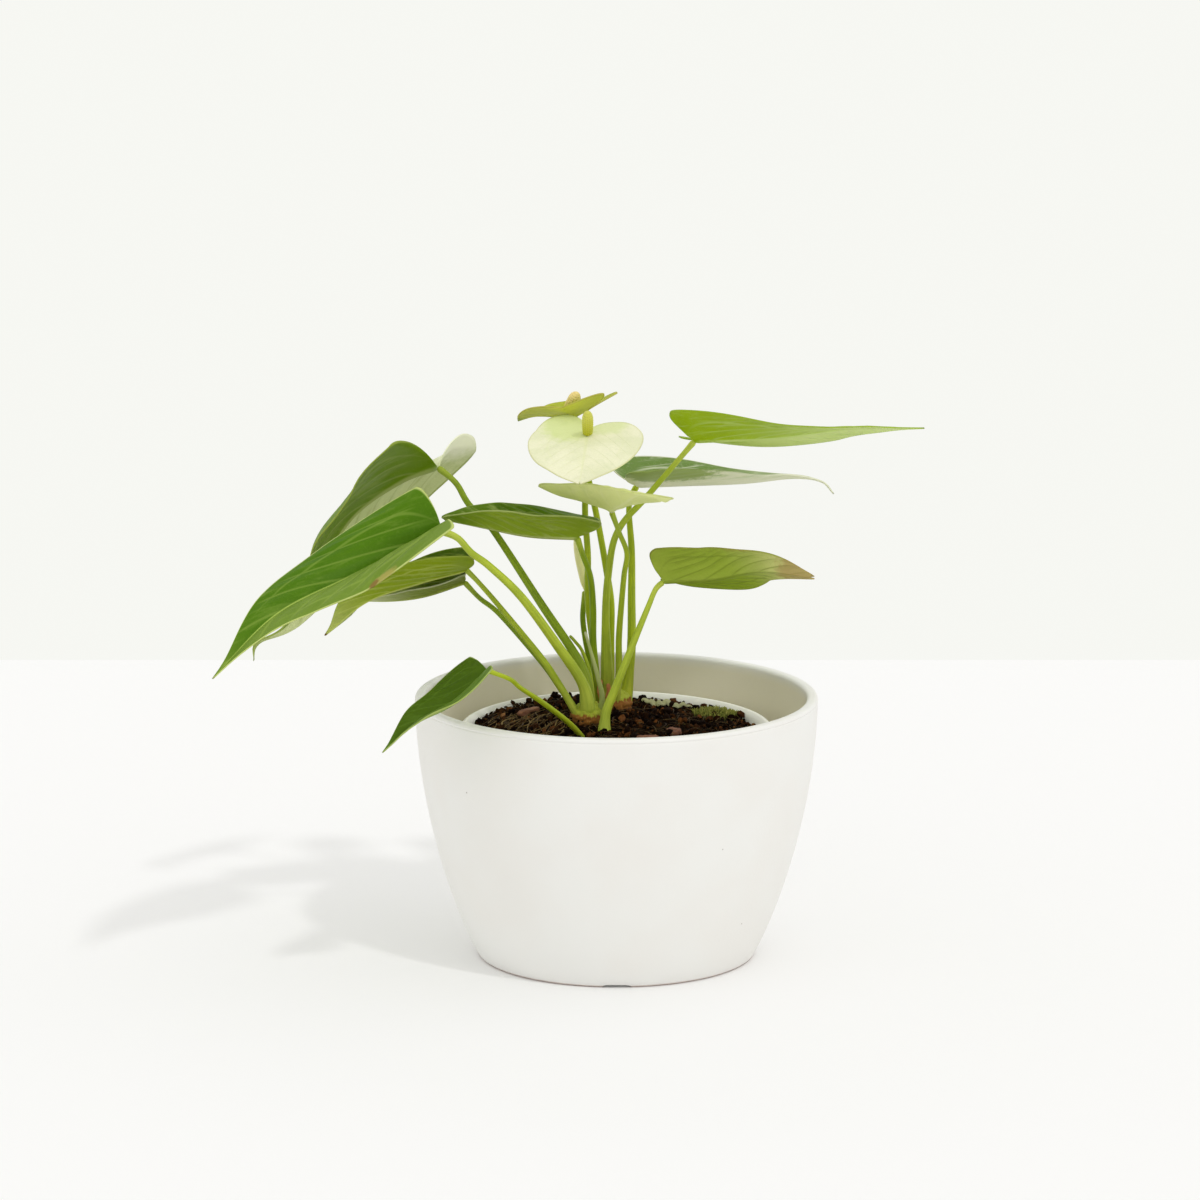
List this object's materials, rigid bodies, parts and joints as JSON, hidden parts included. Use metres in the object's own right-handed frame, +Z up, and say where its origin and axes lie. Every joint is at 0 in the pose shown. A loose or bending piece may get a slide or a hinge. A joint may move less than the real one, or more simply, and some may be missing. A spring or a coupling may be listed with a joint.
{
  "type": "potted anthurium",
  "caption": "Young potted anthurium with cream spathes in a nursery pot of soil, standing inside a round off-white planter.",
  "frame": {"origin": "centre of the planter's flat underside, on the surface that it stands on", "axes": "+Z up; +X along the plant's widest spread, from the long left leaf to the upper right leaf; +Y towards the back of the plant as it is usually seen"},
  "size_m": [0.2663, 0.1637, 0.2172],
  "materials": {
    "planter": "matte off-white ceramic",
    "nursery_pot": "satin cream plastic",
    "soil": "damp dark peat with fibres",
    "bark": "rough dark bark",
    "moss": "dry yellow-green moss",
    "withered": "dry pale leaf strip",
    "crown": "brown fibrous rhizome",
    "leaf": "waxy green leaf",
    "stalk": "smooth green stalk",
    "spathe": "waxy cream spathe with a green tint",
    "bud": "pale yellow folded spathe",
    "spadix": "fine-grained yellow spadix"
  },
  "bodies": {
    "root": {"bark_chip_1": "bark", "bark_chip_2": "bark", "bark_chip_3": "bark", "bark_chip_4": "bark", "bark_chip_5": "bark", "bark_chip_6": "bark", "brown_sheath_left": "crown", "brown_sheath_right": "crown", "crown_front": "crown", "crown_rear": "crown", "flower_bud": "bud", "leaf_big_left": "leaf", "leaf_centre_dark": "leaf", "leaf_centre_pale": "leaf", "leaf_low_left": "leaf", "leaf_low_left_rear": "leaf", "leaf_low_right": "leaf", "leaf_rear_left": "leaf", "leaf_right_middle": "leaf", "leaf_small_front": "leaf", "leaf_top_right": "leaf", "moss_patch": "moss", "nursery_pot": "nursery_pot", "old_stalk_stub": "stalk", "planter_pot": "planter", "potting_soil": "soil", "sheath_pale": "stalk", "spadix_front": "spadix", "spadix_rear": "spadix", "spathe_front": "spathe", "spathe_rear": "spathe", "stalk_big_left": "stalk", "stalk_bud": "stalk", "stalk_centre_dark": "stalk", "stalk_centre_pale": "stalk", "stalk_flower_front": "stalk", "stalk_flower_rear": "stalk", "stalk_low_left": "stalk", "stalk_low_left_rear": "stalk", "stalk_low_right": "stalk", "stalk_rear_left": "stalk", "stalk_right_middle": "stalk", "stalk_small_front": "stalk", "stalk_top_right": "stalk", "withered_strip": "withered"}
  },
  "joints": []
}
